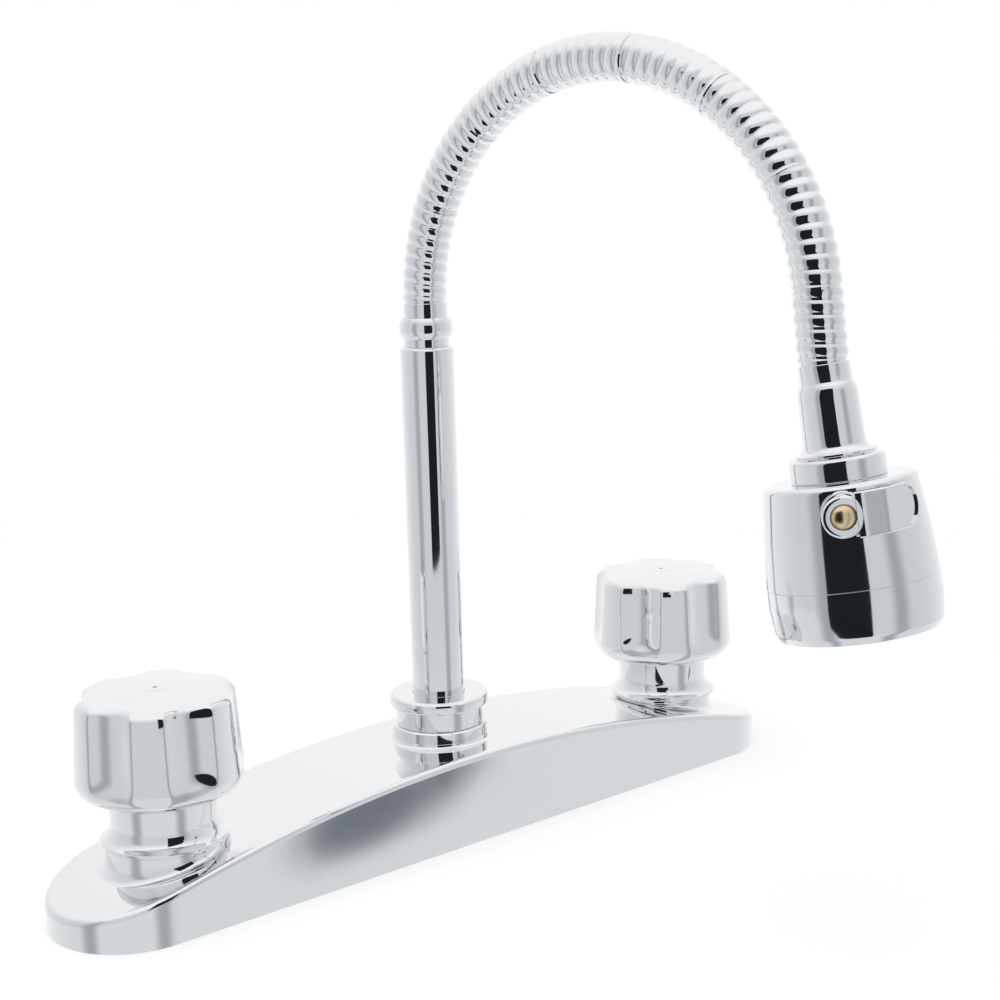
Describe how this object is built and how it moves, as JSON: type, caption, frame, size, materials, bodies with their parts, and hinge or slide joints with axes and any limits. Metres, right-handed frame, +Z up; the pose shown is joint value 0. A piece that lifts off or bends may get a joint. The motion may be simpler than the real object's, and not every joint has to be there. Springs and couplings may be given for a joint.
{
  "type": "two handle kitchen faucet",
  "caption": "Chrome deck-mounted kitchen faucet with separate hot and cold fluted handles, a swivel spout with a flexible ribbed gooseneck, and a spray head with a side lever.",
  "frame": {"origin": "centre of the deck plate on the deck face (the plate's underside), under the spout", "axes": "+X along the two valves from hot to cold, -Y towards the user, +Z up from the deck"},
  "size_m": [0.2754, 0.1968, 0.2978],
  "materials": {
    "chrome": "polished",
    "chrome_handle": "polished",
    "chrome_plastic": "chrome plated",
    "brass": "machined",
    "copper": "drawn",
    "steel": "zinc plated",
    "rubber": "matte",
    "ceramic": "lapped",
    "white_plastic": "moulded",
    "grey_plastic": "moulded",
    "hot_mark": "glossy",
    "cold_mark": "glossy"
  },
  "bodies": {
    "deck": {"deck_plate": "chrome", "base_gasket": "rubber", "hot_valve_body": "brass", "cold_valve_body": "brass", "crossover_tubes": "copper", "spout_hub": "brass", "shank_washers": "steel", "shank_locknuts": "brass", "spout_nut": "chrome", "hot_bonnet": "chrome", "cold_bonnet": "chrome", "hot_cartridge_body": "brass", "cold_cartridge_body": "brass", "hot_fixed_disc": "ceramic", "cold_fixed_disc": "ceramic", "hot_seat_seal": "rubber", "cold_seat_seal": "rubber"},
    "hot_control": {"hot_handle": "chrome_handle", "hot_spindle": "brass", "hot_moving_disc": "ceramic", "hot_spindle_seal": "rubber", "hot_handle_screw": "steel", "hot_index_cap": "hot_mark"},
    "cold_control": {"cold_handle": "chrome_handle", "cold_spindle": "brass", "cold_moving_disc": "ceramic", "cold_spindle_seal": "rubber", "cold_handle_screw": "steel", "cold_index_cap": "cold_mark"},
    "spout": {"spout_tube": "chrome", "spout_seals": "rubber", "spout_split_ring": "white_plastic", "neck_base": "chrome"},
    "neck_1": {"neck_link_1": "chrome", "hose_length_1": "rubber"},
    "neck_2": {"neck_link_2": "chrome", "hose_length_2": "rubber"},
    "neck_3": {"neck_link_3": "chrome", "hose_length_3": "rubber"},
    "neck_4": {"neck_link_4": "chrome", "hose_length_4": "rubber"},
    "neck_5": {"neck_link_5": "chrome", "hose_length_5": "rubber"},
    "neck_6": {"neck_link_6": "chrome", "hose_length_6": "rubber"},
    "neck_7": {"neck_link_7": "chrome", "hose_length_7": "rubber"},
    "neck_8": {"neck_link_8": "chrome", "hose_length_8": "rubber"},
    "neck_fitting": {"neck_end": "chrome"},
    "head": {"swivel_nut": "chrome_plastic", "head_shell": "chrome_plastic", "head_core": "white_plastic", "head_skirt": "chrome_plastic", "spray_plate": "grey_plastic", "aerator": "white_plastic"},
    "diverter": {"diverter_spool": "brass", "diverter_lever": "chrome_plastic", "lever_screw": "brass"}
  },
  "joints": [
    {"name": "hot_turn", "type": "hinge", "parent": "deck", "child": "hot_control", "pos_m": [-0.1016, 0, 0.04], "axis": [0, 0, 1], "range_deg": [0, 90]},
    {"name": "cold_turn", "type": "hinge", "parent": "deck", "child": "cold_control", "pos_m": [0.1016, 0, 0.04], "axis": [0, 0, 1], "range_deg": [-90, 0]},
    {"name": "spout_swivel", "type": "hinge", "parent": "deck", "child": "spout", "pos_m": [0, 0, 0.04], "axis": [0, 0, 1], "continuous": true},
    {"name": "neck_bend_1", "type": "hinge", "parent": "spout", "child": "neck_1", "pos_m": [0, 0, 0.1695], "axis": [0.9848, 0.1736, 0], "range_deg": [-5, 1.5]},
    {"name": "neck_bend_2", "type": "hinge", "parent": "neck_1", "child": "neck_2", "pos_m": [0.00112, -0.00634, 0.19871], "axis": [0.9848, 0.1736, 0], "range_deg": [-5, 1.5]},
    {"name": "neck_bend_3", "type": "hinge", "parent": "neck_2", "child": "neck_3", "pos_m": [0.00427, -0.02419, 0.22252], "axis": [0.9848, 0.1736, 0], "range_deg": [-5, 1.5]},
    {"name": "neck_bend_4", "type": "hinge", "parent": "neck_3", "child": "neck_4", "pos_m": [0.00886, -0.05024, 0.2365], "axis": [0.9848, 0.1736, 0], "range_deg": [-5, 1.5]},
    {"name": "neck_bend_5", "type": "hinge", "parent": "neck_4", "child": "neck_5", "pos_m": [0.01405, -0.07966, 0.23806], "axis": [0.9848, 0.1736, 0], "range_deg": [-5, 1.5]},
    {"name": "neck_bend_6", "type": "hinge", "parent": "neck_5", "child": "neck_6", "pos_m": [0.01887, -0.107, 0.22692], "axis": [0.9848, 0.1736, 0], "range_deg": [-5, 1.5]},
    {"name": "neck_bend_7", "type": "hinge", "parent": "neck_6", "child": "neck_7", "pos_m": [0.02243, -0.1272, 0.20515], "axis": [0.9848, 0.1736, 0], "range_deg": [-5, 1.5]},
    {"name": "neck_bend_8", "type": "hinge", "parent": "neck_7", "child": "neck_8", "pos_m": [0.02407, -0.13651, 0.17676], "axis": [0.9848, 0.1736, 0], "range_deg": [-5, 1.5]},
    {"name": "neck_bend_9", "type": "hinge", "parent": "neck_8", "child": "neck_fitting", "pos_m": [0.02441, -0.13845, 0.15802], "axis": [0.9848, 0.1736, 0], "range_deg": [-5, 1.5]},
    {"name": "head_swivel", "type": "hinge", "parent": "neck_fitting", "child": "head", "pos_m": [0.02527, -0.14333, 0.12843], "axis": [0.0287, -0.1625, -0.9863], "continuous": true},
    {"name": "diverter_turn", "type": "hinge", "parent": "head", "child": "diverter", "pos_m": [0.0255, -0.14463, 0.12054], "axis": [-0.7672, -0.636, 0.0825], "range_deg": [0, 90]}
  ],
  "couplings": [
    {"joint": "neck_bend_2", "follows": "neck_bend_1", "ratio": 1},
    {"joint": "neck_bend_3", "follows": "neck_bend_1", "ratio": 1},
    {"joint": "neck_bend_4", "follows": "neck_bend_1", "ratio": 1},
    {"joint": "neck_bend_5", "follows": "neck_bend_1", "ratio": 1},
    {"joint": "neck_bend_6", "follows": "neck_bend_1", "ratio": 1},
    {"joint": "neck_bend_7", "follows": "neck_bend_1", "ratio": 1},
    {"joint": "neck_bend_8", "follows": "neck_bend_1", "ratio": 1},
    {"joint": "neck_bend_9", "follows": "neck_bend_1", "ratio": 1}
  ]
}
